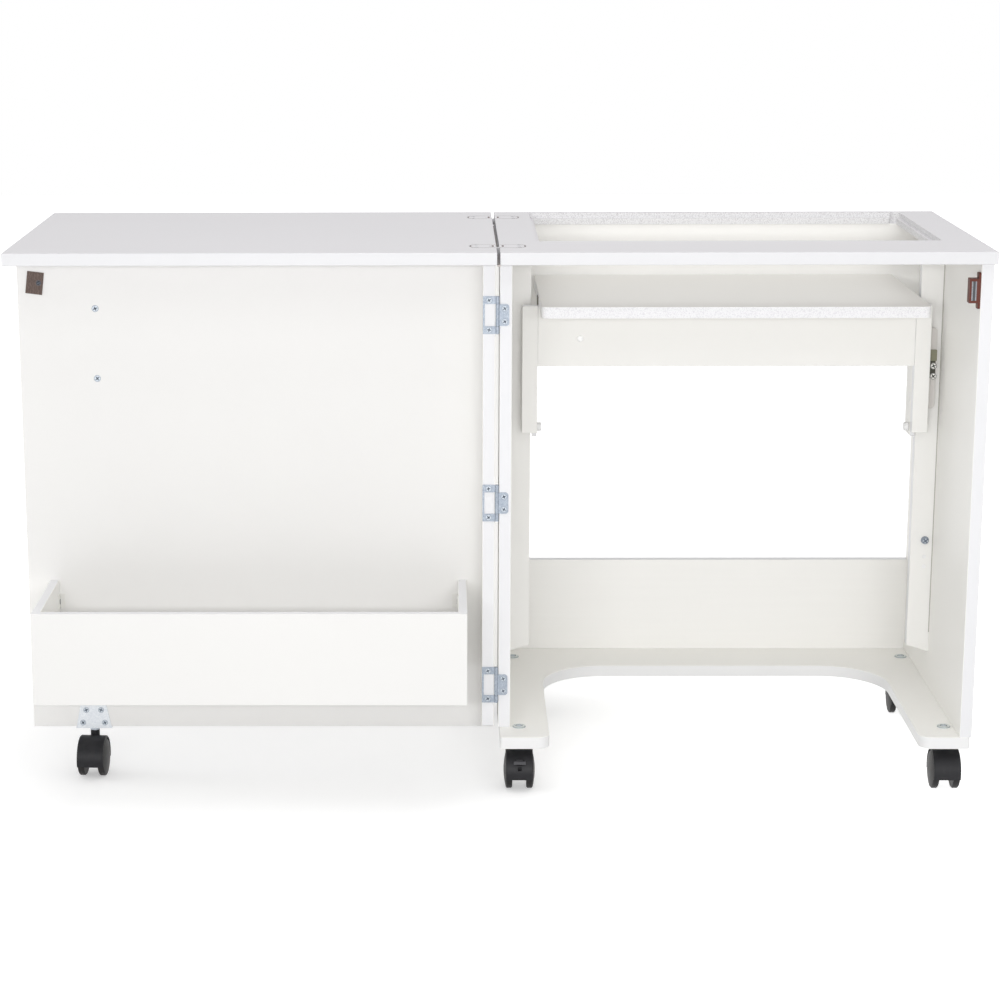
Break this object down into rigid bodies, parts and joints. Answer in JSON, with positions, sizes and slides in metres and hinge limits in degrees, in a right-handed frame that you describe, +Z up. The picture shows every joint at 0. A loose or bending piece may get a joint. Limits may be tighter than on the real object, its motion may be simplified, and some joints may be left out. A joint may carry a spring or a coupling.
{
  "type": "sewing machine cabinet",
  "caption": "Sewing cabinet on castors with a fold-over leaf, a swing-out door carrying a storage bin, and a height-adjustable machine platform under a ledged opening in its top.",
  "frame": {"origin": "on the floor, at the middle of the open cabinet's bounding box, under the gap between leaf and top", "axes": "+X to the right from leaf to machine top, +Y to the back, +Z up"},
  "size_m": [1.3362, 0.571, 0.77],
  "materials": {
    "melamine": "satin melamine faced board",
    "melamine_top": "satin melamine faced board",
    "bin_board": "satin melamine faced board",
    "hinge_white": "white lacquer",
    "zinc": "bright zinc",
    "dark_steel": "dark brown lacquer",
    "brown_plastic": "satin",
    "white_plastic": "satin",
    "olive_nylon": "satin",
    "black_plastic": "fine grained"
  },
  "bodies": {
    "cabinet": {"base_castor_stems": "zinc", "base_plate": "melamine", "base_stem_nuts": "zinc", "cabinet_screws": "zinc", "catch_body": "brown_plastic", "catch_poles": "zinc", "door_hinge_pins": "zinc", "door_hinge_small_leaves": "zinc", "flap_hinge_pins_top": "zinc", "flap_hinge_plates_top": "hinge_white", "flap_hinge_screws_top": "hinge_white", "left_side_panel": "melamine", "lift_post_left": "melamine", "lift_post_right": "melamine", "lower_back_rail": "melamine", "machine_top": "melamine_top", "post_fittings": "zinc", "right_side_panel": "melamine", "upper_back_rail": "melamine"},
    "flap_links": {"flap_links": "hinge_white"},
    "leaf": {"leaf_top": "melamine_top", "flap_hinge_plates_leaf": "hinge_white", "flap_hinge_pins_leaf": "zinc", "flap_hinge_screws_leaf": "hinge_white"},
    "lift": {"platform_shelf": "melamine_top", "lift_stretcher": "melamine", "lift_fascia_left": "melamine", "lift_fascia_right": "melamine", "lift_side_plate_left": "melamine", "lift_side_plate_right": "melamine", "lift_carriages": "hinge_white", "lift_glides": "olive_nylon", "lift_keepers": "melamine", "carriage_screws": "zinc", "shelf_brackets": "olive_nylon"},
    "door": {"door_panel": "melamine", "door_stile": "melamine", "bin_front": "bin_board", "bin_left_end": "bin_board", "bin_right_end": "bin_board", "bin_floor": "bin_board", "bin_brackets": "hinge_white", "door_hinge_frame_leaves": "zinc", "door_screws": "zinc", "striker_plate": "dark_steel", "castor_bracket": "zinc", "door_castor_stem": "zinc"},
    "lock_knob_left": {"lock_knob_left": "white_plastic"},
    "lock_knob_right": {"lock_knob_right": "white_plastic"},
    "brake_tab": {"castor_brake_tab": "black_plastic"},
    "castor_front_left": {"castor_hood_front_left": "black_plastic"},
    "wheels_front_left": {"castor_wheels_front_left": "black_plastic"},
    "castor_front_right": {"castor_hood_front_right": "black_plastic"},
    "wheels_front_right": {"castor_wheels_front_right": "black_plastic"},
    "castor_back_left": {"castor_hood_back_left": "black_plastic"},
    "wheels_back_left": {"castor_wheels_back_left": "black_plastic"},
    "castor_back_right": {"castor_hood_back_right": "black_plastic"},
    "wheels_back_right": {"castor_wheels_back_right": "black_plastic"},
    "castor_door": {"castor_hood_door": "black_plastic"},
    "wheels_door": {"castor_wheels_door": "black_plastic"}
  },
  "joints": [
    {"name": "flap_link_turn", "type": "hinge", "parent": "cabinet", "child": "flap_links", "pos_m": [0.0068, 0, 0.7635], "axis": [0, 1, 0], "range_deg": [0, 90]},
    {"name": "leaf_turn", "type": "hinge", "parent": "flap_links", "child": "leaf", "pos_m": [-0.0068, 0, 0.7635], "axis": [0, 1, 0], "range_deg": [0, 90]},
    {"name": "door_swing", "type": "hinge", "parent": "cabinet", "child": "door", "pos_m": [0, -0.1465, 0.411], "axis": [0, 0, 1], "range_deg": [0, 180]},
    {"name": "lift_slide", "type": "slide", "parent": "cabinet", "child": "lift", "axis": [0, 0, 1], "range_m": [-0.192, 0.091]},
    {"name": "lock_knob_left_turn", "type": "hinge", "parent": "lift", "child": "lock_knob_left", "pos_m": [0.0622, 0.075, 0.478], "axis": [1, 0, 0], "range_deg": [-180, 180]},
    {"name": "lock_knob_right_turn", "type": "hinge", "parent": "lift", "child": "lock_knob_right", "pos_m": [0.608, 0.075, 0.478], "axis": [1, 0, 0], "range_deg": [-180, 180]},
    {"name": "brake_tab_tilt", "type": "hinge", "parent": "castor_front_left", "child": "brake_tab", "pos_m": [0.0331, -0.17202, 0.04578], "axis": [1, 0, 0], "range_deg": [0, 8]},
    {"name": "castor_front_left_swivel", "type": "hinge", "parent": "cabinet", "child": "castor_front_left", "pos_m": [0.0331, -0.1435, 0.05], "axis": [0, 0, 1], "continuous": true},
    {"name": "castor_front_left_roll", "type": "hinge", "parent": "castor_front_left", "child": "wheels_front_left", "pos_m": [0.0331, -0.1595, 0.027], "axis": [1, 0, 0], "continuous": true},
    {"name": "castor_front_right_swivel", "type": "hinge", "parent": "cabinet", "child": "castor_front_right", "pos_m": [0.6371, -0.1435, 0.05], "axis": [0, 0, 1], "continuous": true},
    {"name": "castor_front_right_roll", "type": "hinge", "parent": "castor_front_right", "child": "wheels_front_right", "pos_m": [0.6371, -0.1595, 0.027], "axis": [1, 0, 0], "continuous": true},
    {"name": "castor_back_left_swivel", "type": "hinge", "parent": "cabinet", "child": "castor_back_left", "pos_m": [0.0331, 0.2215, 0.05], "axis": [0, 0, 1], "continuous": true},
    {"name": "castor_back_left_roll", "type": "hinge", "parent": "castor_back_left", "child": "wheels_back_left", "pos_m": [0.0331, 0.2055, 0.027], "axis": [1, 0, 0], "continuous": true},
    {"name": "castor_back_right_swivel", "type": "hinge", "parent": "cabinet", "child": "castor_back_right", "pos_m": [0.6371, 0.2215, 0.05], "axis": [0, 0, 1], "continuous": true},
    {"name": "castor_back_right_roll", "type": "hinge", "parent": "castor_back_right", "child": "wheels_back_right", "pos_m": [0.6371, 0.2055, 0.027], "axis": [1, 0, 0], "continuous": true},
    {"name": "castor_door_swivel", "type": "hinge", "parent": "door", "child": "castor_door", "pos_m": [-0.58, -0.087, 0.05], "axis": [0, 0, 1], "continuous": true},
    {"name": "castor_door_roll", "type": "hinge", "parent": "castor_door", "child": "wheels_door", "pos_m": [-0.58112, -0.10296, 0.027], "axis": [0.9976, -0.0698, 0], "continuous": true}
  ]
}
